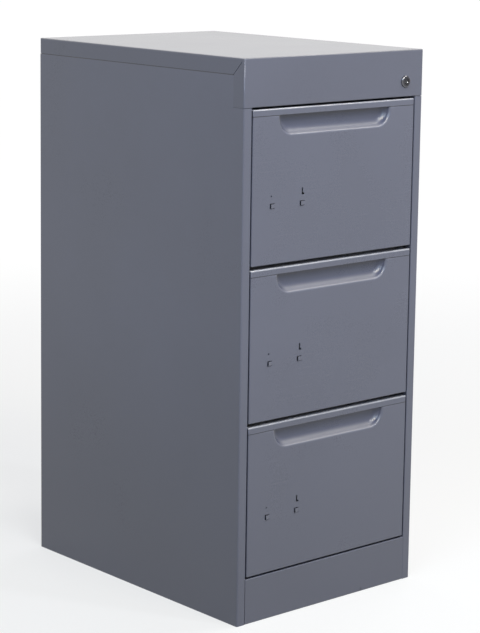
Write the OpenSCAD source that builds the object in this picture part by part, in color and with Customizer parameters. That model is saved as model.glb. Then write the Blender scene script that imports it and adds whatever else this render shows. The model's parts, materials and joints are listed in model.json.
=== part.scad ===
// A three-drawer vertical filing cabinet in folded sheet steel.
// The origin is the centre of the footprint, on the floor. +Z is up, +X is the right-hand side as
// seen by someone who stands in front of it, and the drawers pull out along -Y.

/* [Body] */
// Width over the side panels
body_w = 450; // [420:5:500]
// Depth from the front face to the back
body_d = 610; // [540:5:680]
// Height from the floor to the top
body_h = 1040; // [990:5:1100]
// Thickness of the sheet steel
sheet_t = 0.9; // [0.7:0.1:1.2]
// Outside radius of the body's folded corners
fold_r = 3; // [2.5:0.5:5]
// Outside radius of the tighter folds on flanges and drawer fronts
tight_r = 1.6; // [1.4:0.1:2.4]
// Height of the header above the top drawer
header_h = 88; // [80:1:110]
// Height of the plinth below the bottom drawer
plinth_h = 86; // [60:1:110]
// Width of the stile on each side of the drawers
stile_w = 19; // [18:0.5:22]
// How far the edge of a stile turns back into the body
stile_return = 15; // [13:0.5:17]
// How far the header's ends wrap round onto the side panels
header_wrap = 29; // [22:1:40]
// How far the header's lower edge turns back into the body
header_return = 20; // [15:1:21]
// Height of the top cover's flanges down the sides and back
cover_flange = 30; // [20:1:45]
// Width of the open seams between two folded panels
seam = 0.9; // [0.4:0.1:1.2]
// Width of the flanges that stiffen the side panels behind and below
panel_flange = 20; // [14:1:21]
// Height of the bottom pan above the floor
pan_h = 15; // [10:1:25]
// Distance of the notch in the plinth's lower edge from the middle
plinth_notch_x = 92; // [60:1:120]

/* [Drawer fronts] */
// Gap between a drawer front and the stile beside it
side_gap = 3; // [2:0.5:4]
// Gap above the top drawer front
top_gap = 4; // [3:0.5:6]
// Gap between two drawer fronts
drawer_gap = 7; // [4:0.5:9]
// Gap below the bottom drawer front
bottom_gap = 3.5; // [3:0.5:6]
// Depth of a drawer front from its face to its back
front_depth = 21; // [19:0.5:22]
// Radius of the lower corners of a drawer front, seen from the front
front_corner_r = 3; // [2:0.5:5]
// Width of the lips that close the back of a drawer front
front_lip = 9; // [8:0.5:12]
// Height of the pull strip along the top of a drawer front
pull_h = 12; // [10:0.5:16]
// Radius of the pull strip's front top edge
pull_r = 3; // [2:0.5:4]
// Seam between the pull strip and the panel below it
pull_seam = 1.1; // [0.6:0.1:1.4]

/* [Finger recess] */
// Width of the pressed finger recess
scoop_w = 286; // [240:2:320]
// Height of the recess below the pull strip
scoop_h = 39.5; // [34:0.5:44]
// Depth of the recess
scoop_depth = 14; // [11:0.5:15]
// Radius of the lower corners of the recess, seen from the front
scoop_corner_r = 35; // [28:1:36]
// Radius of the rounded lip at the mouth of the recess
scoop_lip_r = 5; // [4:0.5:7]
// Radius between the wall and the back of the recess
scoop_back_r = 15; // [13:0.5:21]

/* [Card holder holes] */
// Distance of the outer column of punchings from the middle
card_outer_x = 154; // [148:1:160]
// Distance of the inner column of punchings from the middle
card_inner_x = 81; // [76:1:90]
// Height of the upper punchings below the top of the front
card_upper_drop = 153.5; // [148:0.5:165]
// Height of the lanced lugs below the top of the front
card_lower_drop = 175.5; // [170:0.5:190]
// Width of a lanced lug
lug_w = 11.5; // [9:0.5:16]
// Height of a lanced lug
lug_h = 9.5; // [8:0.5:12]
// Width of the cut round a lug
lug_cut = 1.1; // [0.6:0.1:1.4]
// How far the free end of a lug stands out from the panel
lug_set = 2.4; // [1:0.2:3]
// Width of the upright slot
slot_w = 3; // [2:0.5:4]
// Height of the upright slot
slot_h = 12.5; // [9:0.5:15]
// Width of the slot's foot, which turns to the right at its lower end
slot_foot_w = 3; // [2:0.5:4]
// Diameter of the small pilot hole
pilot_d = 3; // [2:0.5:4]

/* [Drawer trays] */
// Space on each side of a tray for its slide
slide_w = 13; // [12.8:0.1:14]
// Height of a tray above the lower edge of its front
tray_rise = 15; // [11:1:24]
// Height of a tray from its floor to the top of its file rails
tray_h = 235; // [200:1:236]
// Height of the file rails above the shoulder of a tray
rail_h = 10; // [6:1:14]
// Width of the shoulder between a tray's side and its file rail
rail_in = 8; // [5:1:12]
// Free space behind a tray, in front of the back panel
tray_back_room = 42; // [40:1:60]

/* [Slides] */
// Height of a slide
slide_h = 45; // [44:0.5:48]
// Height of a slide's centre above the lower edge of the drawer front
slide_rise = 100; // [60:1:160]
// Thickness of the slide members
member_t = 1; // [0.9:0.1:1.1]
// Diameter of the balls
ball_d = 4; // [3.8:0.1:4.2]
// Running gap between a ball and its raceway
ball_gap = 0.3; // [0.25:0.05:0.35]
// Balls in each row of a cage
balls_per_row = 6; // [4:1:8]
// Distance from the front face to the front end of the slides
slide_front_inset = 25; // [24:1:30]
// Distance from the back of the cabinet to the rear end of the slides
slide_back_inset = 35; // [32:1:45]
// Part of the length that stays in its slide when a drawer is fully out
slide_engaged = 10; // [5:1:40]
// Diameter of the slide screws' heads
screw_head_d = 8; // [7:0.5:9]
// Diameter of the slide screws' shanks
screw_d = 4; // [3:0.5:5]

/* [Frame] */
// Width of the uprights that carry the slides
upright_w = 40; // [32:1:50]
// Height of the cross rails between the drawers
cross_rail_h = 26; // [16:1:28]
// Depth of the cross rails, front to back
cross_rail_d = 20; // [15:1:30]

/* [Lock] */
// Distance of the lock's axis from the right-hand side
lock_inset = 46.5; // [40:0.5:60]
// Height of the lock's axis above the lower edge of the header
lock_rise = 28.5; // [26:0.5:32]
// Diameter of the lock's bezel
bezel_d = 22.5; // [21.5:0.5:28]
// How far the bezel stands proud of the header
bezel_proud = 3.5; // [2.5:0.5:5]
// Diameter of the lock's barrel
barrel_d = 19; // [17:0.5:20]
// Length of the barrel behind the face of the header
barrel_l = 18; // [16:0.5:19]
// Diameter of the turning plug
plug_d = 12; // [10:0.5:13]
// Radius of the cam's crank pin
crank_r = 8.5; // [8:0.5:10]
// Diameter of the crank pin
crank_pin_d = 4; // [3:0.5:4.5]
// Width of the lock bar
bar_w = 12; // [10:0.5:12]
// Thickness of the lock bar
bar_t = 2; // [1.5:0.1:2.5]
// Height of a hook on the lock bar
hook_h = 4; // [3:0.5:6]
// Height of the hooks above the lower edge of each drawer front
hook_rise = 200; // [150:1:210]
// Clearance round the moving pieces of the lock
lock_gap = 0.4; // [0.3:0.1:0.6]

/* [Hidden] */
$fn = 64;

// Paint and bare metal
paint = [0.42, 0.43, 0.50];
inner_paint = [0.38, 0.39, 0.44];
zinc = [0.72, 0.73, 0.74];
chrome = [0.82, 0.83, 0.85];
// Small overlap by which a cutter passes the face it cuts
cut = 1;
// Height of the block that a section is cut from, beyond the part that is kept
spare = 50;
// How much wider than its screw or ball a hole is
hole_play = 0.2;
// Overlap that makes one solid of two walls of the same pressing
weld = 0.01;
// Part of the sheet's thickness that an inside edge radius gives up
edge_share = 0.9;

// Planes of the body
side_x = body_w / 2;
front_y = -body_d / 2;
back_y = body_d / 2;
stile_x = side_x - stile_w;
header_z = body_h - header_h;
cover_z = body_h - cover_flange;
cover_lap = 16;
lap_joint = 6;
lap_inset = 3;
lap_start = 1;
header_hem = 10;
mitre_inset = 7;
mitre_over = 0.5;
flat_strip = 4;
plinth_play = 0.3;
plinth_notch_w = 1.5;
plinth_notch_h = 7;

// Drawer fronts, from the bottom up
drawers = 3;
front_x = stile_x - side_gap;
opening_h = header_z - plinth_h;
front_h = (opening_h - top_gap - bottom_gap - (drawers - 1) * drawer_gap) / drawers;
pitch = front_h + drawer_gap;
bottom_z = plinth_h + bottom_gap;
middle_z = bottom_z + pitch;
top_z = middle_z + pitch;
front_back_y = front_y + front_depth;
pull_z = front_h - pull_h;
panel_top = pull_z - pull_seam;
pull_cap_gap = 3;
pull_hem = 5;
tongue_play = 0.4;
liner_lap = 2.5;
liner_low = 3;
liner_high = 2;
pilot_in = 3;
pilot_drop = 4;

// Finger recess, from the two arcs of its section
scoop_slope = acos(1 - scoop_depth / (scoop_lip_r + scoop_back_r));
scoop_run = (scoop_lip_r + scoop_back_r) * sin(scoop_slope);
scoop_z = pull_z - scoop_h;
scoop_top = front_h - pull_cap_gap;
lip_steps = 8;
back_steps = 12;

// Slides: distances s run from the upright's face towards the drawer
rail_inset = 1;
rail_x = stile_x - rail_inset;
race_r = ball_d / 2 + ball_gap;
lip_r = race_r + member_t;
outer_row_z = slide_h / 2 - lip_r;
inner_row_z = outer_row_z - race_r - lip_r;
cage_t = 0.6;
cage_gap = 0.4;
inner_cage_gap = 0.5;
outer_cage_over = 1;
inner_cage_over = 0.7;
outer_row_in = 1.8;
outer_cage_s = member_t + cage_gap;
middle_s = outer_cage_s + cage_t + 2 * cage_gap;
outer_row_s = middle_s + outer_row_in;
inner_cage_s = middle_s + member_t + inner_cage_gap;
inner_row_s = slide_w - member_t - lip_r;
outer_cage_reach = outer_row_s + ball_d / 2 + outer_cage_over;
inner_cage_reach = inner_row_s + ball_d / 2 + inner_cage_over;
slide_y0 = front_y + slide_front_inset;
slide_y1 = back_y - slide_back_inset;
slide_l = slide_y1 - slide_y0;
travel = slide_l - slide_engaged;
cage_margin = 5;
cage_y0 = slide_y0 + travel / 4 + cage_margin;
cage_y1 = slide_y1 - travel / 4 - cage_margin;
ball_inset = 8;
ball_play = 0.15;
// Angles at which the lips that hold the balls begin
cabinet_lip_from = 20;
middle_root_from = 230;
middle_lip_from = 34;
drawer_root_from = 205;

// Trays
tray_x = rail_x - slide_w;
tray_y0 = front_back_y + sheet_t;
tray_y1 = back_y - tray_back_room;
shoulder_z = tray_rise + tray_h - rail_h;
tray_screw_front = 30;
tray_screw_rear = 50;
tray_screw_ys = [slide_y0 + tray_screw_front, slide_y1 - tray_screw_rear];
tray_screw_head_h = 1.8;

// Frame
rail_room = 1.1;
front_upright_y = front_back_y + sheet_t + rail_room;
rear_upright_y = back_y - slide_back_inset - upright_w;
upright_z0 = pan_h + sheet_t;
upright_room = 7;
upright_z1 = header_z - upright_room;
slide_screw_l = 5;
panel_inset = 3;
slide_screw_ys = [front_upright_y + upright_w / 2, rear_upright_y + upright_w / 2];
tray_space_mid = (tray_rise + pitch + tray_rise + tray_h) / 2;

// Lock
lock_x = side_x - lock_inset;
lock_z = header_z + lock_rise;
plug_gap = 0.2;
plug_inset = 0.5;
bezel_r = 0.85 * bezel_proud;
keyway_w = 1.8;
keyway_h = 7.2;
keyway_l = 6;
nut_wall = 4;
nut_h = 4;
cam_t = 2;
cam_bolt_d = 3;
cam_bolt_l = 7;
cam_head_d = 7;
cam_slot_w = 1;
cam_arm_w = 6;
cam_boss_over = 2;
cam_eye_over = 3;
pin_over = 1.5;
cam_room = 0.6;
cam_y = front_y + barrel_l + lock_gap + cam_room;
cam_screw_h = 2.4;
arm_y = cam_y + cam_t + cam_screw_h + lock_gap;
crank_angle = 45;
pin_rise = crank_r * sin(crank_angle);
bar_drop = 2 * pin_rise;
bar_inset = 3;
bar_x = stile_x + bar_inset;
bar_behind = 9;
bar_y = front_y + bar_behind;
bar_tail = 40;
hook_reach = 8;
hook_root = 3;
hook_play = 1.5;
hook_way_play = 2;
hook_side_play = 1;
arm_h = 17;
fork_end = 4;
bar_bottom = bottom_z + hook_rise - bar_tail;
guide_h = 14;
guide_t = 1.2;
guide_rise = hook_rise + 30;
top_guide_rise = hook_rise + 20;
guide_zs = [bottom_z + guide_rise, middle_z + guide_rise, top_z + top_guide_rise];

// ---- folded sheet ----

function unit(v) = v / norm(v);
function left_of(v) = [-v[1], v[0]];
function flat(p) = [p[0], p[1]];

// Points of the arc that rounds corner b, between a and c, to radius r
function corner_arc(a, b, c, r, steps = 5) =
    let (u = unit(a - b), v = unit(c - b), half = acos(u * v) / 2)
    let (hub = b + unit(u + v) * r / sin(half), from = b + u * r / tan(half) - hub)
    let (start = atan2(from[1], from[0]), turn = (cross(u, v) > 0 ? -1 : 1) * (180 - 2 * half))
    [for (i = [0:steps]) hub + r * [cos(start + turn * i / steps), sin(start + turn * i / steps)]];

// Points of an arc about a hub, with the first ones left out where another line ends there
function arc_points(hub, r, from, to, first, steps) =
    [for (i = [first:steps])
        let (a = from + (to - from) * i / steps) hub + r * [cos(a), sin(a)]];

// A line through points [x, y], or [x, y, r] where the sheet is folded to radius r
function fold_line(points) = [
    for (i = [0:len(points) - 1])
        each len(points[i]) == 2 ? [points[i]]
            : corner_arc(flat(points[i - 1]), flat(points[i]), flat(points[i + 1]), points[i][2])
];

// The same line moved sideways by t, to the left of the way it runs
function moved(p, i, t) =
    let (a = i > 0 ? unit(p[i] - p[i - 1]) : unit(p[1] - p[0]))
    let (b = i < len(p) - 1 ? unit(p[i + 1] - p[i]) : a, m = left_of(a) + left_of(b))
    p[i] + m * 2 * t / (m * m);

// Outline of a folded sheet of thickness t beside the line
function folded(points, t) =
    let (p = fold_line(points))
    concat(p, [for (i = [len(p) - 1:-1:0]) moved(p, i, t)]);

// Extrusions whose section is drawn in x, z and in y, z
module along_y(y0, y1) {
    translate([0, y1, 0]) rotate([90, 0, 0]) linear_extrude(y1 - y0) children();
}

module along_x(x0, x1) {
    translate([x0, 0, 0]) rotate([90, 0, 90]) linear_extrude(x1 - x0) children();
}

module box(low, high) {
    translate(low) cube(high - low);
}

module both_sides() {
    children();
    mirror([1, 0, 0]) children();
}

module round_rect(x0, x1, y0, y1, r) {
    translate([x0 + r, y0]) square([x1 - x0 - 2 * r, y1 - y0]);
    translate([x0, y0 + r]) square([x1 - x0, y1 - y0 - 2 * r]);
    for (x = [x0 + r, x1 - r], y = [y0 + r, y1 - r]) translate([x, y]) circle(r);
}

// ---- body ----

// The cover's outside shape, inset by the sheet's thickness for its inside
module cover_block(inset) {
    r = fold_r - inset;
    low = header_z - spare;
    intersection() {
        translate([0, 0, header_z - cut])
            linear_extrude(header_h + 2 * cut)
                round_rect(-side_x + inset, side_x - inset, front_y + inset, back_y - inset, r);
        along_y(front_y - cut, back_y + cut)
            round_rect(-side_x + inset, side_x - inset, low, body_h - inset, r);
        along_x(-side_x - cut, side_x + cut)
            round_rect(front_y + inset, back_y - inset, low, body_h - inset, r);
    }
}

// The mitre between a side flange and the header's end
module mitre_slot() {
    start = [front_y + mitre_inset, body_h - mitre_inset];
    end = [front_y + header_wrap, cover_z];
    slope = atan2(end[1] - start[1], end[0] - start[0]);
    translate([side_x - fold_r, start[0], start[1]])
        rotate([slope, 0, 0])
            translate([0, 0, -seam / 2]) cube([fold_r + cut, norm(end - start) + mitre_over, seam]);
}

module top_cover() {
    color(paint) {
        difference() {
            cover_block(0);
            cover_block(sheet_t);
            box([-side_x - cut, front_y - cut, header_z - 2 * cut], [side_x + cut, back_y + cut, header_z]);
            box([-side_x - cut, front_y + header_wrap, header_z - cut],
                [side_x + cut, back_y + cut, cover_z]);
            box([-stile_x, front_y - cut, header_z - cut], [stile_x, front_y + cut, header_z + flat_strip]);
            both_sides() mitre_slot();
            translate([lock_x, front_y + 2 * cut, lock_z])
                rotate([90, 0, 0]) cylinder(d = barrel_d + 2 * hole_play, h = 4 * cut);
        }
        along_x(-stile_x, stile_x)
            polygon(folded([
                [front_y, header_z + flat_strip],
                [front_y, header_z, tight_r],
                [front_y + header_return, header_z, tight_r],
                [front_y + header_return, header_z + header_hem],
            ], sheet_t));
    }
}

// One side: stile, corner, side and rear flange are a single folded sheet
module side_panel() {
    inner = side_x - sheet_t;
    difference() {
        linear_extrude(cover_z - seam)
            polygon(folded([
                [-stile_x, front_y + stile_return],
                [-stile_x, front_y, tight_r],
                [-side_x, front_y, fold_r],
                [-side_x, back_y, tight_r],
                [-side_x + panel_flange, back_y],
            ], -sheet_t));
        box([-side_x - cut, front_y - cut, header_z - seam],
            [-stile_x + cut, front_y + header_wrap, body_h]);
    }
    // Joggled edges behind the cover's flange and the header's end
    box([-inner, front_y + header_wrap + lap_inset, cover_z - seam - lap_joint],
        [-inner + sheet_t, back_y - flat_strip, cover_z + cover_lap]);
    box([-inner, front_y + fold_r + lap_start, header_z - seam - lap_joint],
        [-inner + sheet_t, front_y + header_wrap + lap_inset, header_z + cover_lap]);
    // Flange that stands on the floor
    box([-inner - weld, front_upright_y, 0], [-side_x + panel_flange, back_y - sheet_t, sheet_t]);
}

module left_side_panel() {
    color(paint) side_panel();
}

module right_side_panel() {
    color(paint)
        difference() {
            mirror([1, 0, 0]) side_panel();
            for (z = [bottom_z, middle_z, top_z])
                box([stile_x - cut, bar_y - hook_way_play, z + hook_rise - bar_drop - hook_way_play],
                    [stile_x + sheet_t + lock_gap, bar_y + bar_t + hook_way_play,
                        z + hook_rise + hook_h + hook_way_play]);
        }
}

module back_panel() {
    color(paint)
        box([-side_x + panel_inset, back_y - 2 * sheet_t, pan_h + flat_strip],
            [side_x - panel_inset, back_y - sheet_t, body_h - flat_strip]);
}

module bottom_pan() {
    x = side_x - sheet_t;
    color(inner_paint)
        along_y(front_upright_y, back_y - 2 * sheet_t)
            polygon(folded([
                [-x, sheet_t],
                [-x, upright_z0, tight_r],
                [x, upright_z0, tight_r],
                [x, sheet_t],
            ], -sheet_t));
}

module plinth_panel() {
    color(paint)
        difference() {
            along_x(-stile_x + plinth_play, stile_x - plinth_play)
                polygon(folded([
                    [front_upright_y, plinth_h],
                    [front_y, plinth_h, tight_r],
                    [front_y, 0, tight_r],
                    [front_upright_y, 0],
                    [front_upright_y, pan_h],
                ], sheet_t));
            box([plinth_notch_x, front_y - cut, -cut],
                [plinth_notch_x + plinth_notch_w, front_y + sheet_t + cut, plinth_notch_h]);
        }
}

module cross_rail(z) {
    mid = z + tray_space_mid;
    along_x(-rail_x, rail_x)
        polygon(folded([
            [front_upright_y + cross_rail_d, mid - cross_rail_h / 2],
            [front_upright_y, mid - cross_rail_h / 2, tight_r],
            [front_upright_y, mid + cross_rail_h / 2, tight_r],
            [front_upright_y + cross_rail_d, mid + cross_rail_h / 2],
        ], -sheet_t));
}

module upper_cross_rail() {
    color(inner_paint) cross_rail(middle_z);
}

module lower_cross_rail() {
    color(inner_paint) cross_rail(bottom_z);
}

// A channel that stands on the bottom pan against the left side panel
module upright(y) {
    x = side_x - sheet_t;
    difference() {
        translate([0, 0, upright_z0])
            linear_extrude(upright_z1 - upright_z0)
                polygon(folded([
                    [-x, y],
                    [-rail_x, y, tight_r],
                    [-rail_x, y + upright_w, tight_r],
                    [-x, y + upright_w],
                ], sheet_t));
        for (z = [bottom_z, middle_z, top_z])
            translate([-rail_x + cut, y + upright_w / 2, z + slide_rise])
                rotate([0, -90, 0]) cylinder(d = screw_d + hole_play, h = sheet_t + 3 * cut);
    }
}

module left_front_upright() {
    color(inner_paint) upright(front_upright_y);
}

module right_front_upright() {
    color(inner_paint) mirror([1, 0, 0]) upright(front_upright_y);
}

module left_rear_upright() {
    color(inner_paint) upright(rear_upright_y);
}

module right_rear_upright() {
    color(inner_paint) mirror([1, 0, 0]) upright(rear_upright_y);
}

// Flat-head screws that hold the cabinet members to the uprights
module slide_screws() {
    color(zinc)
        both_sides()
            for (z = [bottom_z, middle_z, top_z], y = slide_screw_ys)
                translate([-rail_x + member_t, y, z + slide_rise])
                    rotate([0, -90, 0]) {
                        cylinder(d = screw_head_d, h = member_t);
                        cylinder(d = screw_d, h = member_t + slide_screw_l);
                    }
}

// ---- slides ----

module arc_strip(centre, r_in, r_out, from, to) {
    reach = 2 * r_out;
    translate(centre)
        intersection() {
            difference() {
                circle(r_out);
                circle(r_in);
            }
            polygon([[0, 0], for (a = [from, (from + to) / 2, to]) reach * [cos(a), sin(a)]]);
        }
}

module both_edges() {
    children();
    mirror([0, 1]) children();
}

module cabinet_member_section() {
    both_edges() {
        square([member_t, slide_h / 2]);
        translate([0, slide_h / 2 - member_t]) square([outer_row_s, member_t]);
        arc_strip([outer_row_s, outer_row_z], race_r, lip_r, cabinet_lip_from, 90);
    }
}

module middle_member_section() {
    both_edges() {
        translate([middle_s, 0]) square([member_t, outer_row_z - race_r]);
        arc_strip([outer_row_s, outer_row_z], race_r, lip_r, middle_root_from, 270);
        translate([outer_row_s, outer_row_z - lip_r]) square([inner_row_s - outer_row_s, member_t]);
        arc_strip([inner_row_s, inner_row_z], race_r, lip_r, middle_lip_from, 90);
    }
}

module drawer_member_section() {
    both_edges() {
        translate([slide_w - member_t, 0]) square([member_t, inner_row_z - race_r]);
        translate([inner_row_s, inner_row_z - lip_r]) square([slide_w - inner_row_s, member_t]);
        arc_strip([inner_row_s, inner_row_z], race_r, lip_r, drawer_root_from, 270);
    }
}

module cage_section(s, reach, row_z) {
    both_edges() {
        translate([s, 0]) square([cage_t, row_z + cage_t / 2]);
        translate([s, row_z - cage_t / 2]) square([reach - s, cage_t]);
    }
}

// Puts a left-hand slide piece at the height of a drawer's slides
module at_slide(z) {
    translate([-rail_x, 0, z + slide_rise]) children();
}

module cabinet_member(z) {
    at_slide(z)
        difference() {
            along_y(slide_y0, slide_y1) cabinet_member_section();
            for (y = slide_screw_ys)
                translate([-cut, y, 0])
                    rotate([0, 90, 0]) cylinder(d = screw_head_d + hole_play, h = member_t + 2 * cut);
        }
}

module middle_member(z) {
    at_slide(z) along_y(slide_y0, slide_y1) middle_member_section();
}

module drawer_member(z) {
    at_slide(z)
        difference() {
            along_y(slide_y0, slide_y1) drawer_member_section();
            for (y = tray_screw_ys)
                translate([slide_w - member_t - cut, y, 0])
                    rotate([0, 90, 0]) cylinder(d = screw_d + hole_play, h = member_t + 2 * cut);
        }
}

// A cage strip with its balls in pockets above and below
module cage(z, s, reach, row_s, row_z) {
    step = (cage_y1 - cage_y0 - 2 * ball_inset) / (balls_per_row - 1);
    at_slide(z) {
        difference() {
            along_y(cage_y0, cage_y1) cage_section(s, reach, row_z);
            for (i = [0:balls_per_row - 1], up = [-1, 1])
                translate([row_s, cage_y0 + ball_inset + i * step, up * row_z])
                    cylinder(d = ball_d + 2 * ball_play, h = 4 * cage_t, center = true);
        }
        for (i = [0:balls_per_row - 1], up = [-1, 1])
            translate([row_s, cage_y0 + ball_inset + i * step, up * row_z]) sphere(d = ball_d, $fn = 32);
    }
}

module outer_cages(z) {
    color(zinc)
        both_sides() cage(z, outer_cage_s, outer_cage_reach, outer_row_s, outer_row_z);
}

module inner_cages(z) {
    color(zinc)
        both_sides() cage(z, inner_cage_s, inner_cage_reach, inner_row_s, inner_row_z);
}

module left_member(kind, z) {
    color(zinc) {
        if (kind == "cabinet") cabinet_member(z);
        if (kind == "middle") middle_member(z);
        if (kind == "drawer") drawer_member(z);
    }
}

module right_member(kind, z) {
    mirror([1, 0, 0]) left_member(kind, z);
}

// ---- drawers ----

// A pan with rounded front edges and lower corners: y runs back from its face, z up from its edge
module pan_block(inset, depth, top) {
    x = front_x - inset;
    edge = tight_r - inset * edge_share;
    corner = front_corner_r - inset;
    intersection() {
        along_y(inset, depth) round_rect(-x, x, inset, top + spare, corner);
        along_x(-x - cut, x + cut) round_rect(inset, depth + spare, inset, top + spare, edge);
        linear_extrude(top) round_rect(-x, x, inset, depth + spare, edge);
    }
}

// Section of the recess: x is the distance in from its edge, y the depth behind the face. The lip's
// arc runs straight into the back's arc. Grown by the sheet's thickness, it is the back of the pressing.
module scoop_section(grow, far) {
    lip = [0, scoop_lip_r];
    back = lip + (scoop_lip_r + scoop_back_r) * [sin(scoop_slope), -cos(scoop_slope)];
    polygon(concat(
        [[far, -cut], [0, -cut]],
        arc_points(lip, scoop_lip_r - grow, -90, scoop_slope - 90, 0, lip_steps),
        arc_points(back, scoop_back_r + grow, scoop_slope + 90, 90, 1, back_steps),
        [[far, scoop_depth + grow]]
    ));
}

// The recess as a solid, or grown by the sheet, the space its pressing takes
module scoop_form(grow) {
    r = scoop_corner_r;
    straight = scoop_w / 2 - r;
    intersection() {
        union() {
            translate([0, 0, scoop_z])
                rotate([0, -90, 0]) linear_extrude(2 * straight, center = true) scoop_section(grow, r);
            both_sides() {
                translate([-straight, 0, scoop_z + r])
                    rotate([-90, 0, 0]) rotate([0, 0, 90])
                        rotate_extrude(angle = 90, $fn = 96)
                            translate([r, 0]) mirror([1, 0]) scoop_section(grow, r);
                translate([-straight, 0, scoop_z + r])
                    linear_extrude(scoop_top - scoop_z - r)
                        translate([-r, 0]) scoop_section(grow, r);
            }
            box([-straight, -cut, scoop_z + r], [straight, scoop_depth + grow, scoop_top]);
        }
        box([-front_x, grow > 0 ? 0 : -cut, 0], [front_x, front_depth, scoop_top]);
    }
}

// The window that a lug is lanced from, and the lug, which stands out at its free left-hand end
module lug_window(x, z) {
    box([x - lug_w / 2, -cut, z - lug_h / 2], [x + lug_w / 2, cut + sheet_t, z + lug_h / 2]);
}

module lug(x, z) {
    free = x - lug_w / 2 + lug_cut;
    root = x + lug_w / 2;
    translate([0, 0, z - lug_h / 2 + lug_cut])
        linear_extrude(lug_h - 2 * lug_cut)
            polygon([
                [root + cut, 0],
                [root + cut, sheet_t],
                [root, sheet_t],
                [free, sheet_t - lug_set],
                [free, -lug_set],
                [root, 0],
            ]);
}

module card_holder_punchings() {
    upper = front_h - card_upper_drop;
    lower = front_h - card_lower_drop;
    slot_z = upper - slot_h / 2;
    slot_x = -card_inner_x - slot_w / 2;
    for (x = [-card_outer_x, -card_inner_x]) lug_window(x, lower);
    box([slot_x, -cut, slot_z], [slot_x + slot_w, cut + sheet_t, slot_z + slot_h]);
    box([slot_x, -cut, slot_z], [slot_x + slot_w + slot_foot_w, cut + sheet_t, slot_z + slot_w]);
    translate([-card_outer_x - pilot_in, cut + sheet_t, upper - pilot_drop])
        rotate([90, 0, 0]) cylinder(d = pilot_d, h = sheet_t + 2 * cut);
}

// The way of a lock hook: in from the back, then down behind the flange
module hook_way() {
    y0 = bar_behind - hook_side_play;
    y1 = bar_behind + bar_t + hook_side_play;
    x0 = front_x - front_lip - cut;
    low = hook_rise - bar_drop - hook_play;
    high = hook_rise + hook_h + hook_play;
    box([x0, y0, hook_rise - hook_play], [front_x + cut, front_depth + cut, high]);
    box([x0, y0, low], [front_x + cut, y1, high]);
}

module front_panel(z) {
    tongue_x = front_x - tight_r - tongue_play;
    color(paint)
        translate([0, front_y, z]) {
            difference() {
                union() {
                    difference() {
                        pan_block(0, front_depth, panel_top);
                        pan_block(sheet_t, front_depth - sheet_t, panel_top + cut);
                        box([-front_x + front_lip, front_depth - 2 * sheet_t, front_lip],
                            [front_x - front_lip, front_depth + cut, panel_top + cut]);
                    }
                    // Tongue that carries the pull strip
                    box([-tongue_x, sheet_t, panel_top - lap_joint],
                        [tongue_x, 2 * sheet_t, scoop_top]);
                    scoop_form(sheet_t);
                }
                scoop_form(0);
                // The joggle: above the seam the pull strip lies in front
                box([-front_x, -cut, panel_top], [front_x, sheet_t, front_h]);
                card_holder_punchings();
                hook_way();
            }
            for (x = [-card_outer_x, -card_inner_x]) lug(x, front_h - card_lower_drop);
        }
}

// The strip is a cap with a rounded front edge, hemmed where it crosses the recess
module pull_block(inset) {
    r = pull_r - inset;
    edge = tight_r - inset * edge_share;
    x = front_x - inset;
    intersection() {
        along_x(-x, x) round_rect(inset, front_depth + spare, pull_z - spare, front_h - inset, r);
        along_y(0, front_depth - inset) round_rect(-x, x, pull_z - spare, front_h - inset, edge);
        translate([0, 0, pull_z - (inset > 0 ? cut : 0)])
            linear_extrude(pull_h + cut) round_rect(-x, x, inset, front_depth + spare, edge);
    }
}

module pull_strip(z) {
    hem_x = scoop_w / 2 - scoop_run;
    color(paint)
        translate([0, front_y, z]) {
            difference() {
                pull_block(0);
                pull_block(sheet_t);
            }
            box([-hem_x, sheet_t, pull_z], [hem_x, 2 * sheet_t, pull_z + pull_hem]);
        }
}

module front_liner(z) {
    x = front_x - front_lip + liner_lap;
    color(inner_paint)
        box([-x, front_back_y, z + liner_low], [x, front_back_y + sheet_t, z + pull_z - liner_high]);
}

module tray(z) {
    top = z + tray_rise + tray_h;
    shoulder = z + shoulder_z;
    low = z + tray_rise;
    color(inner_paint)
        difference() {
            union() {
                along_y(tray_y0, tray_y1)
                    polygon(folded([
                        [-tray_x + rail_in, top],
                        [-tray_x + rail_in, shoulder, tight_r],
                        [-tray_x, shoulder, tight_r],
                        [-tray_x, low, tight_r],
                        [tray_x, low, tight_r],
                        [tray_x, shoulder, tight_r],
                        [tray_x - rail_in, shoulder, tight_r],
                        [tray_x - rail_in, top],
                    ], sheet_t));
                box([-tray_x + sheet_t / 2, tray_y1 - sheet_t, low + sheet_t / 2],
                    [tray_x - sheet_t / 2, tray_y1, shoulder - sheet_t / 2]);
            }
            for (y = tray_screw_ys)
                translate([-tray_x - cut, y, z + slide_rise])
                    rotate([0, 90, 0]) cylinder(d = screw_d + hole_play, h = 2 * tray_x + 2 * cut);
        }
}

// Round-head screws from inside the tray into the drawer members
module tray_screws(z) {
    color(zinc)
        both_sides()
            for (y = tray_screw_ys)
                translate([-tray_x - member_t, y, z + slide_rise])
                    rotate([0, 90, 0]) {
                        cylinder(d = screw_d, h = member_t + sheet_t);
                        translate([0, 0, member_t + sheet_t])
                            cylinder(d = screw_head_d, h = tray_screw_head_h);
                    }
}

// ---- lock ----

// Puts a piece on the lock's axis, with its z along +Y from the header's face
module on_lock() {
    translate([lock_x, front_y, lock_z]) rotate([-90, 0, 0]) children();
}

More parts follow.
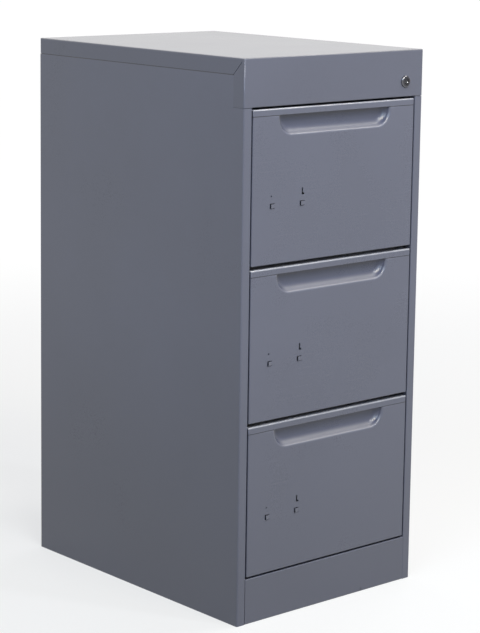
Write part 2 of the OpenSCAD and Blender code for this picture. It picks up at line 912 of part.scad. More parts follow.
module lock_barrel() {
    color(chrome)
        on_lock()
            rotate_extrude()
                difference() {
                    union() {
                        intersection() {
                            union() {
                                square([bezel_d - 2 * bezel_r, 2 * bezel_proud], center = true);
                                translate([bezel_d / 2 - bezel_r, bezel_r - bezel_proud]) circle(bezel_r);
                                translate([0, bezel_r - bezel_proud]) square([bezel_d / 2, bezel_proud]);
                            }
                            translate([0, -bezel_proud]) square([bezel_d, bezel_proud]);
                        }
                        square([barrel_d / 2, barrel_l]);
                    }
                    translate([-bezel_d, -bezel_d])
                        square([bezel_d + plug_d / 2 + plug_gap, 2 * bezel_d + barrel_l]);
                }
}

module lock_nut() {
    color(zinc)
        on_lock()
            translate([0, 0, sheet_t])
                difference() {
                    cylinder(d = barrel_d + 2 * nut_wall, h = nut_h, $fn = 6);
                    translate([0, 0, -cut]) cylinder(d = barrel_d + hole_play, h = nut_h + 2 * cut);
                }
}

module lock_plug() {
    face = bezel_proud - plug_inset;
    plug_l = cam_y - front_y;
    color(chrome)
        on_lock()
            difference() {
                translate([0, 0, -face]) cylinder(d = plug_d, h = face + plug_l);
                translate([-keyway_w / 2, -keyway_h / 2, -face - cut])
                    cube([keyway_w, keyway_h, keyway_l + cut]);
                translate([0, 0, plug_l - cam_bolt_l - cut])
                    cylinder(d = cam_bolt_d + hole_play, h = cam_bolt_l + 2 * cut);
            }
}

// The cam's crank pin starts above the axis, on the bar's side
module lock_cam() {
    pin = crank_r * [cos(crank_angle), -sin(crank_angle)];
    color(zinc)
        on_lock() {
            translate([0, 0, cam_y - front_y])
                difference() {
                    union() {
                        cylinder(d = plug_d + cam_boss_over, h = cam_t);
                        translate([pin[0], pin[1], 0]) cylinder(d = crank_pin_d + cam_eye_over, h = cam_t);
                        rotate([0, 0, -crank_angle])
                            translate([0, -cam_arm_w / 2, 0]) cube([crank_r, cam_arm_w, cam_t]);
                    }
                    translate([0, 0, -cut]) cylinder(d = cam_bolt_d + 2 * hole_play, h = cam_t + 2 * cut);
                }
            translate([pin[0], pin[1], cam_y - front_y])
                cylinder(d = crank_pin_d, h = arm_y + bar_t + pin_over - cam_y);
        }
}

module lock_cam_screw() {
    color(zinc)
        on_lock() {
            translate([0, 0, cam_y - front_y - cam_bolt_l])
                cylinder(d = cam_bolt_d, h = cam_bolt_l + cam_t);
            translate([0, 0, cam_y - front_y + cam_t])
                difference() {
                    cylinder(d = cam_head_d, h = cam_screw_h);
                    translate([-cam_head_d, -cam_slot_w / 2, cam_screw_h - cam_slot_w])
                        cube([2 * cam_head_d, cam_slot_w, cam_slot_w + cut]);
                }
        }
}

// Flat bar in the right-hand stile, with a hook for each drawer and an arm to the lock
module lock_bar() {
    pin_z = lock_z + pin_rise;
    fork_x = lock_x + crank_r * cos(crank_angle);
    top = pin_z + arm_h / 2;
    color(zinc)
        difference() {
            union() {
                box([bar_x, bar_y, bar_bottom], [bar_x + bar_w, bar_y + bar_t, top]);
                for (z = [bottom_z, middle_z, top_z])
                    box([bar_x - hook_reach - hook_root, bar_y, z + hook_rise],
                        [bar_x + bar_w / 2, bar_y + bar_t, z + hook_rise + hook_h]);
                box([bar_x, bar_y, top - arm_h], [bar_x + bar_t, arm_y + bar_t, top]);
                box([fork_x - fork_end, arm_y, top - arm_h], [bar_x + bar_t, arm_y + bar_t, top]);
            }
            box([fork_x - fork_end - cut, arm_y - cut, pin_z - crank_pin_d / 2 - lock_gap],
                [lock_x + crank_r + crank_pin_d / 2 + 2 * lock_gap, arm_y + bar_t + cut,
                    pin_z + crank_pin_d / 2 + lock_gap]);
        }
}

// Brackets on the inside of the stile that hold the bar upright
module lock_bar_guides() {
    wall = lock_gap + guide_t;
    color(zinc)
        for (z = guide_zs)
            difference() {
                union() {
                    box([bar_x - wall, bar_y - wall, z],
                        [bar_x + bar_w + wall, bar_y + bar_t + wall, z + guide_h]);
                    box([bar_x, front_y + sheet_t, z],
                        [bar_x + bar_w - fold_r, bar_y - lock_gap, z + guide_h]);
                }
                box([bar_x - lock_gap, bar_y - lock_gap, z - cut],
                    [bar_x + bar_w + lock_gap, bar_y + bar_t + lock_gap, z + guide_h + cut]);
            }
}

top_cover();
left_side_panel();
right_side_panel();
back_panel();
bottom_pan();
plinth_panel();
upper_cross_rail();
lower_cross_rail();
left_front_upright();
right_front_upright();
left_rear_upright();
right_rear_upright();
slide_screws();
lock_barrel();
lock_nut();
lock_bar_guides();
lock_plug();
lock_cam();
lock_cam_screw();
lock_bar();

front_panel(top_z);  // top_front_panel
pull_strip(top_z);  // top_pull_strip
front_liner(top_z);  // top_front_liner
tray(top_z);  // top_tray
tray_screws(top_z);  // top_tray_screws
front_panel(middle_z);  // middle_front_panel
pull_strip(middle_z);  // middle_pull_strip
front_liner(middle_z);  // middle_front_liner
tray(middle_z);  // middle_tray
tray_screws(middle_z);  // middle_tray_screws
front_panel(bottom_z);  // bottom_front_panel
pull_strip(bottom_z);  // bottom_pull_strip
front_liner(bottom_z);  // bottom_front_liner
tray(bottom_z);  // bottom_tray
tray_screws(bottom_z);  // bottom_tray_screws

left_member("cabinet", top_z);  // top_left_cabinet_member
right_member("cabinet", top_z);  // top_right_cabinet_member
left_member("middle", top_z);  // top_left_middle_member
right_member("middle", top_z);  // top_right_middle_member
left_member("drawer", top_z);  // top_left_drawer_member
right_member("drawer", top_z);  // top_right_drawer_member
outer_cages(top_z);  // top_outer_cages
inner_cages(top_z);  // top_inner_cages
left_member("cabinet", middle_z);  // middle_left_cabinet_member
right_member("cabinet", middle_z);  // middle_right_cabinet_member
left_member("middle", middle_z);  // middle_left_middle_member
right_member("middle", middle_z);  // middle_right_middle_member
left_member("drawer", middle_z);  // middle_left_drawer_member
right_member("drawer", middle_z);  // middle_right_drawer_member
outer_cages(middle_z);  // middle_outer_cages
inner_cages(middle_z);  // middle_inner_cages
left_member("cabinet", bottom_z);  // bottom_left_cabinet_member
right_member("cabinet", bottom_z);  // bottom_right_cabinet_member
left_member("middle", bottom_z);  // bottom_left_middle_member
right_member("middle", bottom_z);  // bottom_right_middle_member
left_member("drawer", bottom_z);  // bottom_left_drawer_member
right_member("drawer", bottom_z);  // bottom_right_drawer_member
outer_cages(bottom_z);  // bottom_outer_cages
inner_cages(bottom_z);  // bottom_inner_cages
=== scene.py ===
# %% [markdown]
# # A steel filing cabinet
#
# The cabinet itself is already there as exact parts: panels, drawers, slides and lock. This notebook dresses
# them. It sets up a camera and soft light, gives every sheet of steel its enamel, turns the parts that are
# seen into smooth meshes, and adds the small things that a person notices up close.

import json
import math

import bmesh
import bpy
from mathutils import Matrix, Vector


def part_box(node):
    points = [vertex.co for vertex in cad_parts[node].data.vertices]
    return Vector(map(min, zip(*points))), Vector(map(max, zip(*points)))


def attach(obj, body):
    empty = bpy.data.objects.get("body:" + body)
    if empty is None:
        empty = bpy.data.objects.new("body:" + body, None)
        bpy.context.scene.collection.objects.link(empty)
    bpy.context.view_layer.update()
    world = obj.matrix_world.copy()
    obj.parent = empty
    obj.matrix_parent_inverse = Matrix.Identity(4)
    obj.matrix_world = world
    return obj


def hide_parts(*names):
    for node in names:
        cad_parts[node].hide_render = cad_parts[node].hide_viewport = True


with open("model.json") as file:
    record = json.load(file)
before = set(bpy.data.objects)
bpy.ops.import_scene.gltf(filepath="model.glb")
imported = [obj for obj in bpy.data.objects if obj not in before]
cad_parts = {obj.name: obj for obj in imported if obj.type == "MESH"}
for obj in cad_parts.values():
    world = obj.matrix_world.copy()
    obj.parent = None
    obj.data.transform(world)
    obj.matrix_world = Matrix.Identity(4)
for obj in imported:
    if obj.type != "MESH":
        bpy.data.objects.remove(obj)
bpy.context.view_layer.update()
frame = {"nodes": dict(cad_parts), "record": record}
bpy.ops.object.select_all(action="DESELECT")

# %% [markdown]
# ## Camera
#
# A camera is an object with a lens. Two numbers say where it stands and where it looks, and the rest follows
# with a look-at matrix: its -Z axis points at the target. A long lens far away keeps the upright edges of
# a tall box nearly parallel, as in a catalogue picture. The lens is also shifted, which slides the picture up
# or down without tilting the camera, so that the uprights converge no more than they should.

# %% Camera
TARGET = Vector((0.0380, 0.0, 0.6584))
AZIMUTH, ELEVATION, ROLL = (math.radians(angle) for angle in (-41.335, 9.336, 0.799))
DISTANCE = 4.0338


def look_at(place, target, roll=0.0):
    """The matrix of a camera or lamp at a place, facing a target."""
    turn = (target - place).to_track_quat("-Z", "Y").to_matrix().to_4x4()
    return Matrix.Translation(place) @ turn @ Matrix.Rotation(roll, 4, "Z")


away = Vector((math.sin(AZIMUTH) * math.cos(ELEVATION), -math.cos(AZIMUTH) * math.cos(ELEVATION),
               math.sin(ELEVATION)))
lens = bpy.data.cameras.new("camera")
lens.lens = 116.37
lens.shift_y = -0.1264
camera = bpy.data.objects.new("camera", lens)
camera.matrix_world = look_at(TARGET + away * DISTANCE, TARGET, ROLL)
bpy.context.collection.objects.link(camera)
bpy.context.scene.camera = camera
bpy.context.scene.view_settings.view_transform = "Standard"
print("camera at", [round(v, 3) for v in camera.matrix_world.translation])

# %% [markdown]
# ## Shader arithmetic
#
# Masks in a material are sums: a distance from an edge, times a noise, cut off at some height. Written as node
# links these are hard to read, so one small class wraps a socket and lets Python's own operators add the
# Math nodes. Any other node comes from `node`, which sets the node's options first and its inputs after.

# %% Values that build nodes
class Value:
    """A number, colour or vector that varies over a surface, held as a node socket."""

    def __init__(self, shader, socket):
        self.shader, self.socket = shader, socket

    def math(self, operation, *others):
        return self.shader.node("ShaderNodeMath", {"operation": operation}, (self,) + others)

    def __add__(self, other):
        return self.math("ADD", other)

    def __sub__(self, other):
        return self.math("SUBTRACT", other)

    def __mul__(self, other):
        return self.math("MULTIPLY", other)

    def __neg__(self):
        return self * -1.0

    def __rsub__(self, other):
        return -self + other

    def __pow__(self, other):
        return self.math("POWER", other)

    def __abs__(self):
        return self.math("ABSOLUTE")

    __radd__, __rmul__ = __add__, __mul__

    def least(self, other):
        return self.math("MINIMUM", other)

    def most(self, other):
        return self.math("MAXIMUM", other)

    def ramp(self, start, end):
        """0 at start and 1 at end, with soft shoulders."""
        rising = start < end
        made = self.shader.node("ShaderNodeMapRange", {"interpolation_type": "SMOOTHSTEP"},
                                (self, min(start, end), max(start, end)))
        return made if rising else 1.0 - made


class Shader:
    """A node tree being built. On a material its surface is a Principled shader."""

    def __init__(self, tree, material=None):
        self.tree, self.material = tree, material
        self.surface = tree.nodes.get("Principled BSDF")

    @classmethod
    def of_material(cls, name):
        material = bpy.data.materials.new(name)
        material.use_nodes = True
        return cls(material.node_tree, material)

    def node(self, kind, settings=None, inputs=(), output=0):
        """A node of one kind. Inputs are a row in socket order, or a dict by socket name."""
        made = self.tree.nodes.new(kind)
        for key, value in (settings or {}).items():
            setattr(made, key, value)
        pairs = inputs.items() if isinstance(inputs, dict) else enumerate(inputs)
        for key, value in pairs:
            self.feed(made.inputs[key], value)
        return Value(self, made.outputs[output])

    def feed(self, socket, value):
        if isinstance(value, Value):
            self.tree.links.new(value.socket, socket)
        else:
            socket.default_value = value

    def set(self, **sockets):
        for key, value in sockets.items():
            self.feed(self.surface.inputs[key.replace("_", " ")], value)

    def place(self):
        """Object coordinates in metres."""
        return self.node("ShaderNodeTexCoord", output="Object")

    def parts(self, vector):
        """The x, y and z of a vector."""
        split = self.node("ShaderNodeSeparateXYZ", inputs=(vector,)).socket.node
        return [Value(self, socket) for socket in split.outputs]

    def noise(self, point, scale, detail=2.0, roughness=0.5):
        return self.node("ShaderNodeTexNoise", {},
                         {"Vector": point, "Scale": scale, "Detail": detail, "Roughness": roughness})

    def stretch(self, point, factors):
        """The point with each axis scaled, for streaks and brush marks."""
        return self.node("ShaderNodeVectorMath", {"operation": "MULTIPLY"}, (point, factors))

    def mix(self, amount, one, two):
        """Colour one where amount is 0, and two where it is 1."""
        return self.node("ShaderNodeMix", {"data_type": "RGBA"}, {0: amount, 6: one, 7: two}, output=2)

    def bump(self, height, strength, distance, under=None):
        inputs = {"Strength": strength, "Distance": distance, "Height": height}
        if under is not None:
            inputs["Normal"] = under
        return self.node("ShaderNodeBump", {}, inputs)


def srgb(red, green, blue):
    """The linear colour of a screen colour given as 0 to 255."""
    def linear(v):
        v /= 255.0
        return v / 12.92 if v <= 0.04045 else ((v + 0.055) / 1.055) ** 2.4
    return (linear(red), linear(green), linear(blue), 1.0)


def scaled(colour, factor):
    return tuple(min(c * factor, 1.0) for c in colour[:3]) + (1.0,)


print("shader helpers ready")

# %% [markdown]
# ## Enamel
#
# Stoved enamel is never one flat colour. It has a fine orange peel where the droplets ran together, a slight
# wave from the sheet below, and a shade that drifts from one part of a sheet to the next. It is rubbed thin
# along its edges and polished where hands touch it. Each is a noise at its own scale. Rubbing follows the
# edges, and for a box-like sheet the distance to its nearest edge is easy: of the distances to the three
# pairs of faces, it is the middle one.
#
# What only some sheets show is passed in as marks. A mark is a small function that lays its own colour over
# the tone so far and says how far it dulls the gloss, so a plain sheet carries no nodes that it doesn't need.

# %% Enamel
RUB_WIDTH, DUST_HEIGHT = 0.0016, 0.10


def edge_distance(parts, low, high):
    """Distance from a point on a box's faces to the box's nearest edge."""
    x, y, z = [(b - a) / 2 - abs(part - (a + b) / 2) for part, a, b in zip(parts, low, high)]
    return x.least(y).most(x.most(y).least(z))


def enamel(name, colour, low, high, marks, gloss=0.30, wear=0.5, touched=0.0):
    """Semi-gloss enamel on a sheet that fills the box from low to high, with its marks in order."""
    s = Shader.of_material(name)
    point = s.place()
    parts = s.parts(point)
    drift = s.noise(point, 1.7, 2.0) - 0.5
    cloud = s.noise(point, 7.0, 4.0, 0.6) - 0.5
    speck = s.noise(point, 900.0, 2.0) - 0.5
    patchy = s.noise(point, 45.0, 5.0, 0.65)
    tone = s.mix((drift * 1.6 + cloud * 0.7 + speck * 0.35 + 0.5).ramp(0.0, 1.0),
                 scaled(colour, 0.93), scaled(colour, 1.07))
    rub = edge_distance(parts, low, high).ramp(RUB_WIDTH, 0.0) * patchy.ramp(0.42, 0.72)
    tone = s.mix(rub * wear, tone, scaled(colour, 1.7))
    streak = s.noise(s.stretch(point, (9.0, 9.0, 260.0)), 1.0, 3.0).ramp(0.55, 0.85)
    dust = parts[2].ramp(DUST_HEIGHT, 0.0) * patchy
    rough = gloss + drift * 0.08 + cloud * 0.05 + speck * 0.08 + streak * 0.02 + dust * 0.10
    coat = 0.40
    for mark in marks:
        tone, dull = mark(s, tone, parts, patchy, cloud)
        if dull is not None:
            rough, coat = rough + dull * 0.18, coat - dull * 0.32
    if touched:
        rough = rough - s.noise(point, 9.0, 1.0).ramp(0.40, 0.75) * touched
    wave = s.bump(s.noise(point, 3.2, 1.0), 0.5, 0.006)
    peel = s.bump(s.noise(point, 380.0, 1.0), 0.22, 0.00012, wave)
    s.set(Base_Color=tone, Roughness=rough, Normal=peel, IOR=1.52, Coat_Weight=coat, Coat_Roughness=0.12)
    return s.material


BLUE_GREY = srgb(105, 108, 126)
LINING_GREY = srgb(98, 100, 112)
print("enamel", [round(c, 3) for c in BLUE_GREY])

# %% [markdown]
# ## Marks of age, painted light and shade
#
# An office cabinet stands in one place for decades, and dust lies on its top. The other marks here are painted
# light
# and shade: the sheets get a painted shade towards the floor, the seams get a painted shade, and the top fold
# of each pull strip gets a painted highlight along with paint rubbed by the hands that open the drawer. All of
# these keep to a place on the sheet, so each is a ramp on the object's own coordinates.

# %% Marks of age, painted light and shade
# A painted shade that darkens the sheets towards the floor, and the height where it begins.
LOW_SHADE, LOW_SHADE_HEIGHT = scaled(srgb(60, 58, 56), 0.4), 0.62
# Colours: a painted highlight with rubbed paint on the crest, a painted shade for the seams, and dust for the
# top.
CREST_HIGHLIGHT_AND_RUB, SEAM_SHADE, TOP_DUST = srgb(205, 206, 212), srgb(24, 25, 32), srgb(118, 113, 108)


def low_shade(s, tone, parts, patchy, cloud):
    """Painted shade: sheets darken a little towards the floor."""
    return s.mix(parts[2].ramp(LOW_SHADE_HEIGHT, 0.0) * (0.25 + cloud * 0.12), tone, LOW_SHADE), None


def crest_highlight_and_rub(height):
    """A painted highlight along a fold at a height, with the paint there rubbed light as well."""
    def mark(s, tone, parts, patchy, cloud):
        # Painted highlight along the crest, patchy as rubbed paint is.
        highlight_and_rub = abs(parts[2] - height).ramp(0.0022, 0.0006) * (0.15 + patchy * 0.6)
        return s.mix(highlight_and_rub, tone, CREST_HIGHLIGHT_AND_RUB), None
    return mark


def shaded_seam(height):
    """Painted shade in the gap where two sheets meet."""
    def mark(s, tone, parts, patchy, cloud):
        # Painted shade in a narrow band at the seam's height.
        return s.mix(abs(parts[2] - height).ramp(0.0014, 0.0004) * 0.85, tone, SEAM_SHADE), None
    return mark


def dusty_top(height):
    """Warm grey dust on the uppermost face."""
    def mark(s, tone, parts, patchy, cloud):
        return s.mix(parts[2].ramp(height - 0.003, height) * 0.46, tone, TOP_DUST), None
    return mark


print("marks on every sheet, on strips, at seams and on top")

# %% [markdown]
# ### The finger recess
#
# The recess is a shallow bowl whose wall gets a painted shade, bluer and darker, as it sees less of the room.
# Its lower slope faces up and gets a painted light, paler, and is made matt as dust would make it, while the
# swept ends stay clean and keep their gloss. The painted light is placed by depth and height within the bowl.
# Being dust-matt, it also dulls the gloss, so the mark returns its slope.

# %% Painted shade and painted light in the recess
# A painted shade for the recess wall, and a painted light for its lower slope.
RECESS_SHADE, PAINTED_SLOPE_LIGHT = srgb(66, 73, 103), srgb(154, 152, 158)
RECESS_DEPTH, SLOPE_HEIGHT, SLOPE_HALF_WIDTH = 0.0140, 0.036, 0.130


def finger_recess(face, floor):
    """Painted shade and painted light in a recess pressed back from the face, its lowest edge at the floor's
    height.
    """
    def mark(s, tone, parts, patchy, cloud):
        depth = parts[1] - face
        # Painted shade on the wall of the recess.
        tone = s.mix(depth.ramp(0.001, 0.006) * 0.6, tone, RECESS_SHADE)
        slope = depth.ramp(0.0, 0.0018) * depth.ramp(RECESS_DEPTH, RECESS_DEPTH - 0.0045)
        slope = slope * (parts[2] - floor).ramp(SLOPE_HEIGHT, 0.008)
        slope = slope * abs(parts[0]).ramp(SLOPE_HALF_WIDTH, SLOPE_HALF_WIDTH - 0.024)
        # Painted light on the upward slope; the same mask dulls the gloss as dust would.
        return s.mix(slope * (0.60 - parts[2] * 0.19 + patchy * 0.2), tone, PAINTED_SLOPE_LIGHT), slope
    return mark


print("recess", RECESS_DEPTH, "deep")

# %% [markdown]
# ## Bare metals
#
# Slides, screws and the lock bar are zinc plated, which shows a soft spangle and fine rolling marks. The
# lock is chromed, and its chrome is painted dark, a painted reflection of a darker room than this white one.
# Both are metallic shaders. What tells them apart is how rough they are and how that varies. The lock's bezel
# is lighter on its rounded rim, which is a distance from the lock's axis.

# %% Zinc and chrome
FRONT_FACE = -0.305
LOCK_AXIS = Vector((0.1785, FRONT_FACE, 0.9805))
RIM_TONE, RIM_FADE = srgb(106, 106, 110), 0.0012


def zinc_plate():
    """Zinc plate with its spangle and fine rolling marks, which run front to back."""
    s = Shader.of_material("zinc_plate")
    point = s.place()
    spangle = s.noise(point, 240.0, 3.0, 0.7)
    rolled = s.noise(s.stretch(point, (700.0, 9.0, 700.0)), 1.0, 2.0)
    tone = s.mix(spangle.ramp(0.3, 0.7), srgb(160, 164, 168), srgb(200, 202, 202))
    s.set(Base_Color=tone, Metallic=1.0, Roughness=0.24 + spangle * 0.14 + rolled * 0.10,
          Normal=s.bump(rolled, 0.10, 0.0001))
    return s.material


def chrome_plate(name, dark, bright, rim=None):
    """Chrome in two dark shades, a painted dark reflection, lighter beyond the rim, a radius about the lock's
    axis.
    """
    s = Shader.of_material(name)
    point = s.place()
    haze = s.noise(point, 600.0, 4.0, 0.6)
    scratch = s.noise(s.stretch(point, (2600.0, 300.0, 300.0)), 1.0, 2.0).ramp(0.62, 0.72)
    tone = s.mix(haze, dark, bright)
    if rim is not None:
        x, _, z = s.parts(point)
        radius = ((x - LOCK_AXIS.x) ** 2.0 + (z - LOCK_AXIS.z) ** 2.0) ** 0.5
        tone = s.mix(radius.ramp(rim, rim + RIM_FADE), tone, RIM_TONE)
    s.set(Base_Color=tone, Metallic=1.0, Roughness=0.05 + haze * 0.10 + scratch * 0.10,
          Normal=s.bump(scratch, 0.15, 0.00003))
    return s.material


ZINC = zinc_plate()
# Both chromes are painted dark, standing in for a darker room mirrored in them.
CHROME = chrome_plate("bright_chrome", srgb(62, 62, 66), srgb(88, 88, 93), rim=0.0086)
PLUG_CHROME = chrome_plate("plug_chrome", srgb(50, 50, 53), srgb(74, 74, 78))
print("metals ready")

# %% [markdown]
# ## A finish for every part
#
# The record names a slot of paint or metal for each part, and the part's name tells which marks it carries.
# A sheet's own box gives the heights: the crest lies 1 mm under the top of a pull strip, the seam 269 mm and
# the recess's floor 230 mm above the foot of a drawer front. The cover laps over both sides at one height.
# The cover and the plinth are a little darker than the rest, a painted shade.

# %% Give every node its finish
SEAM_RISE, RECESS_RISE, CREST_DROP, SIDE_LAP = 0.2690, 0.230, 0.001, 1.0096
# Painted shade: the cover and the plinth take the same enamel scaled darker than the other sheets.
PAINTED_SHADE = {"top_cover": 0.89, "plinth_panel": 0.93}
HANDLED = 0.03
slot_of = {row["node"]: row["material_slot"] for row in frame["record"]["subparts"]}
body_of = {node: body for body, nodes in frame["record"]["behaviour"]["bodies"].items() for node in nodes}


def painted(node):
    """The outer enamel of one sheet, with the marks that its place gives it."""
    low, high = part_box(node)
    marks = [low_shade]
    if node.endswith("pull_strip"):
        marks = [crest_highlight_and_rub(high.z - CREST_DROP), low_shade]
    if node.endswith("front_panel"):
        marks += [finger_recess(FRONT_FACE, low.z + RECESS_RISE), shaded_seam(low.z + SEAM_RISE)]
    if node.endswith("side_panel"):
        marks.append(shaded_seam(SIDE_LAP))
    if node == "top_cover":
        marks.append(dusty_top(high.z))
    hand = HANDLED if node.endswith(("front_panel", "pull_strip")) else 0.0
    return enamel(node + "_paint", scaled(BLUE_GREY, PAINTED_SHADE.get(node, 1.0)), low, high, marks, touched=hand)


def finish_of(node):
    """The finish that a node's slot asks for."""
    slot = slot_of[node]
    if slot == "inner_paint":
        return enamel(node + "_paint", LINING_GREY, *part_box(node), [low_shade], gloss=0.45, wear=0.25)
    if slot == "body_paint":
        return painted(node)
    if node == "lock_plug":
        return PLUG_CHROME
    return CHROME if slot == "bright_chrome" else ZINC


for node, piece in frame["nodes"].items():
    piece.data.materials.clear()
    piece.data.materials.append(finish_of(node))
print("dressed", len(frame["nodes"]), "nodes")

# %% [markdown]
# ## Smooth skins
#
# An exact part arrives as loose flat triangles, which is right for measuring, but light breaks on every
# facet of a fold. For the pieces that face the room a copy is welded together, shaded smooth across gentle
# angles and left sharp at real edges. The weighted normals keep the broad panels flat and put all of the
# turning into the folds, as pressed sheet does.

# %% Weld and smooth
WELD_DISTANCE, SMOOTH_ANGLE = 0.000002, math.radians(32.0)


def only(piece):
    """Makes one object the sole selected and active one."""
    bpy.ops.object.select_all(action="DESELECT")
    piece.select_set(True)
    bpy.context.view_layer.objects.active = piece


def skin(node):
    """A welded, smooth-shaded copy that stands for a node."""
    source = frame["nodes"][node]
    piece = bpy.data.objects.new(node + "_skin", source.data.copy())
    bpy.context.collection.objects.link(piece)
    only(piece)
    bpy.ops.object.mode_set(mode="EDIT")
    bpy.ops.mesh.select_all(action="SELECT")
    bpy.ops.mesh.remove_doubles(threshold=WELD_DISTANCE)
    bpy.ops.object.mode_set(mode="OBJECT")
    bpy.ops.object.shade_smooth_by_angle(angle=SMOOTH_ANGLE)
    weigh = piece.modifiers.new("weigh", "WEIGHTED_NORMAL")
    weigh.keep_sharp = True
    bpy.ops.object.modifier_apply(modifier=weigh.name)
    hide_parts(node)
    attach(piece, body_of[node])
    return piece


FACING = ["top_cover", "left_side_panel", "right_side_panel", "plinth_panel", "lock_barrel", "lock_plug"]
for level in ("top", "middle", "bottom"):
    FACING += [level + "_front_panel", level + "_pull_strip"]
skins = {node: skin(node) for node in FACING}
print("skins", {node: len(piece.data.polygons) for node, piece in skins.items()})

# %% [markdown]
# ## Small parts of the lock
#
# Two small things sit in the lock's face. They could be drawn as bump, but a real edge catches light that a
# bump can't. They are made as by hand: a primitive at its true size and place, shaped in edit mode. Faces are
# picked in code, by where they lie and which way they point. A finished piece has its place in its mesh, with
# its object at the origin, and rides on the plug's body, so that it turns with the plug.

# %% Tools for small pieces
def pick_faces(piece, wanted):
    """Selects the faces of the piece being edited whose middle and normal pass a test."""
    mesh = bmesh.from_edit_mesh(piece.data)
    mesh.select_mode = {"FACE"}
    for face in mesh.faces:
        face.select_set(wanted(face.calc_center_median(), face.normal))
    mesh.select_flush_mode()
    bmesh.update_edit_mesh(piece.data)


def shape(piece):
    """Puts a new primitive's place into its mesh and opens it for editing, with nothing selected."""
    bpy.ops.object.transform_apply(location=True, rotation=True, scale=True)
    bpy.ops.object.mode_set(mode="EDIT")
    bpy.ops.mesh.select_all(action="DESELECT")
    return piece


def settle(piece, name, finish):
    """Ends the editing of a piece of the lock, and gives it a finish and a body to ride on."""
    bpy.ops.object.mode_set(mode="OBJECT")
    piece.name = name
    only(piece)
    bpy.ops.object.shade_smooth_by_angle(angle=math.radians(35.0))
    piece.data.materials.clear()
    piece.data.materials.append(finish)
    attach(piece, body_of["lock_plug"])
    print(name, len(piece.data.polygons), "faces")


print("tools ready")

# %% [markdown]
# ### Keyway shutter
#
# Behind the keyway sits a sprung steel plate that keeps dust out and folds away before the key. It starts as
# a box a little narrower than the slot. Its front face is inset and pushed back into a shallow dish, and all
# edges are bevelled.

# %% Keyway shutter
SHUTTER_AT, SHUTTER_SIZE = LOCK_AXIS + Vector((0.0, -0.0014, 0.0)), (0.0016, 0.0008, 0.0070)
DISH_RIM, DISH_DEPTH = 0.0004, 0.0003
bpy.ops.object.select_all(action="DESELECT")
bpy.ops.mesh.primitive_cube_add(size=1.0, location=SHUTTER_AT, scale=SHUTTER_SIZE)
shutter = shape(bpy.context.object)
pick_faces(shutter, lambda middle, normal: normal.y < -0.9)
bpy.ops.mesh.inset(thickness=DISH_RIM)
bpy.ops.transform.translate(value=(0.0, DISH_DEPTH, 0.0))
bpy.ops.mesh.select_all(action="SELECT")
bpy.ops.mesh.bevel(offset=0.0001, segments=2, affect="EDGES")
settle(shutter, "keyway_shutter", ZINC)

# %% [markdown]
# ### Guard pin
#
# A hard steel pin beside the keyway stops a drill, and its domed end shows as a bright dot. It starts as a
# ball. A cut keeps only the front cap, and the cut face is drawn back into the plug as the pin's shank.

# %% Guard pin
PIN_AT = LOCK_AXIS + Vector((0.0035, -0.0020, -0.0017))
CAP_BACK = LOCK_AXIS + Vector((0.0, -0.0028, 0.0))
PIN_RADIUS, SHANK = 0.0015, (0.0, 0.0012, 0.0)
bpy.ops.object.select_all(action="DESELECT")
bpy.ops.mesh.primitive_uv_sphere_add(segments=24, ring_count=12, radius=PIN_RADIUS, location=PIN_AT)
pin = shape(bpy.context.object)
bpy.ops.mesh.select_all(action="SELECT")
bpy.ops.mesh.bisect(plane_co=CAP_BACK, plane_no=(0.0, 1.0, 0.0), use_fill=True, clear_outer=True)
bpy.ops.mesh.select_all(action="DESELECT")
pick_faces(pin, lambda middle, normal: normal.y > 0.9 and middle.y > CAP_BACK.y - 0.0001)
bpy.ops.mesh.extrude_region_move(TRANSFORM_OT_translate={"value": SHANK})
settle(pin, "guard_pin", chrome_plate("polished_pin", srgb(225, 225, 228), srgb(244, 244, 246)))

# %% [markdown]
# ## Studio
#
# A pale floor, a white room and soft lamps. What the camera sees, directly, mirrored or through glass, can
# be told from what lights the object by the kind of ray, and both the floor and the room use that.

# %% Light paths
def seen_directly(shader):
    """1 for what the camera sees directly, by reflection or through glass."""
    path = shader.node("ShaderNodeLightPath").socket.node
    camera_ray, glossy, through = [Value(shader, path.outputs[name]) for name in
                                   ("Is Camera Ray", "Is Glossy Ray", "Is Transmission Ray")]
    return (camera_ray + glossy + through).least(1.0)


print("light paths ready")

# %% [markdown]
# ### Floor
#
# A floor that is only lit goes grey beyond the lamps, and one that only glows loses the object's shadow. So
# it does both: near the object a third of its white is lit and takes the shadow, and further off the glow
# takes over. To the light it is dark, so that little is thrown back up at the foot of the cabinet.

# %% Floor
FLOOR_NEAR, FLOOR_FAR = 0.9, 4.0
DARK_FLOOR, BLACK = srgb(70, 71, 75), (0.0, 0.0, 0.0, 1.0)


def floor_finish(near, far):
    """White whose own glow is near of it beside the object and far of it in the distance."""
    s = Shader.of_material("pale_floor")
    point = s.place()
    x, y, _ = s.parts(point)
    seen = seen_directly(s)
    off = ((x * x + y * y) ** 0.5).ramp(FLOOR_NEAR, FLOOR_FAR)
    glow = s.mix(off, (near, near, near, 1.0), (far, far, far, 1.0))
    lit = s.mix(off, scaled(srgb(254, 254, 255), 0.90 - near), scaled(srgb(255, 255, 255), 0.98 - far))
    pale = s.mix(s.noise(point, 3.0, 3.0) * 0.03, lit, srgb(150, 150, 152))
    s.set(Base_Color=s.mix(seen, DARK_FLOOR, pale), Roughness=0.9,
          Emission_Color=s.mix(seen, BLACK, glow), Emission_Strength=1.0)
    return s.material


bpy.ops.mesh.primitive_plane_add(size=60.0, location=(0.0, 0.0, 0.0))
floor = bpy.context.object
floor.name = "floor"
floor.data.materials.append(floor_finish(0.60, 0.93))
print("floor", [round(side, 1) for side in floor.dimensions])

# %% [markdown]
# ### Room
#
# The world is white to the camera and in reflections, and a dim cool sky as a light. Pale surroundings then
# show in the gloss, as in a white studio, while the lamps still shape the form.

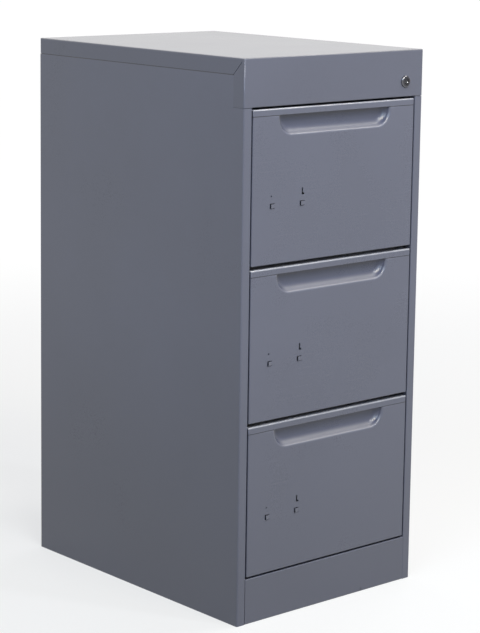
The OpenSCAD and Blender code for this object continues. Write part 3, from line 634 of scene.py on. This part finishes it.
# %% World
world = bpy.data.worlds.new("studio")
bpy.context.scene.world = world
world.use_nodes = True
studio = Shader(world.node_tree)
as_light = studio.node("ShaderNodeBackground", {}, {"Color": (0.84, 0.91, 1.0, 1.0), "Strength": 0.14})
as_seen = studio.node("ShaderNodeBackground", {}, {"Color": (0.97, 0.97, 0.97, 1.0), "Strength": 1.0})
room = studio.node("ShaderNodeMixShader", {}, (seen_directly(studio), as_light, as_seen))
studio.feed(world.node_tree.nodes["World Output"].inputs["Surface"], room)
print("world ready")

# %% [markdown]
# ## Lamps
#
# Glossy enamel is lit twice: once as colour, by how much light falls on it, and once as a mirror, by where
# the lamps stand. Two warm panels high in front carry the colour and leave two bright lobes on the lock. Two
# cool ones on the left hold the side. The tall strip and the corner panel are there for their reflections,
# which are the streaks in the curved ends of the finger recesses. The right panel skims the rounded edges.
# Two weak fills keep the back and the right side readable.

# %% Lamps
AIM = Vector((0.0, -0.3, 1.0))
WARM, COOL, WHITE = (1.0, 0.93, 0.78), (0.70, 0.85, 1.0), (1.0, 1.0, 1.0)


def panel(name, azimuth, elevation, distance, size, watts, colour=WHITE):
    """A soft lamp, size wide and high, seen from the aim at an azimuth from the front and an elevation."""
    lamp = bpy.data.lights.new(name, "AREA")
    lamp.shape, (lamp.size, lamp.size_y) = "RECTANGLE", size
    lamp.energy, lamp.color = watts, colour
    turn, lift = math.radians(azimuth), math.radians(elevation)
    toward = Vector((math.sin(turn) * math.cos(lift), -math.cos(turn) * math.cos(lift), math.sin(lift)))
    made = bpy.data.objects.new(name, lamp)
    made.matrix_world = look_at(AIM + toward * distance, AIM)
    bpy.context.collection.objects.link(made)


panel("key_left", -30.0, 47.0, 4.0, (1.2, 1.2), 53.0, WARM)
panel("key_right", -2.0, 47.0, 4.0, (1.2, 1.2), 53.0, WARM)
panel("side_fill", -70.0, 40.0, 4.0, (1.8, 1.8), 55.0, COOL)
panel("far_fill", -20.0, 30.0, 4.5, (2.0, 2.0), 44.0, (0.55, 0.76, 1.0))
panel("right_panel", 97.0, 46.0, 3.5, (3.4, 1.0), 15.0, (1.0, 0.96, 0.92))
panel("tall_strip", 22.0, 37.0, 3.5, (0.22, 2.4), 30.0, (0.92, 0.96, 1.0))
panel("corner_panel", 68.0, 51.0, 3.5, (1.0, 1.2), 42.0, (1.0, 0.97, 0.92))
panel("back_fill", 176.0, 55.0, 4.5, (2.4, 1.6), 24.0)
panel("right_fill", 118.0, 45.0, 4.5, (1.6, 1.6), 22.0)
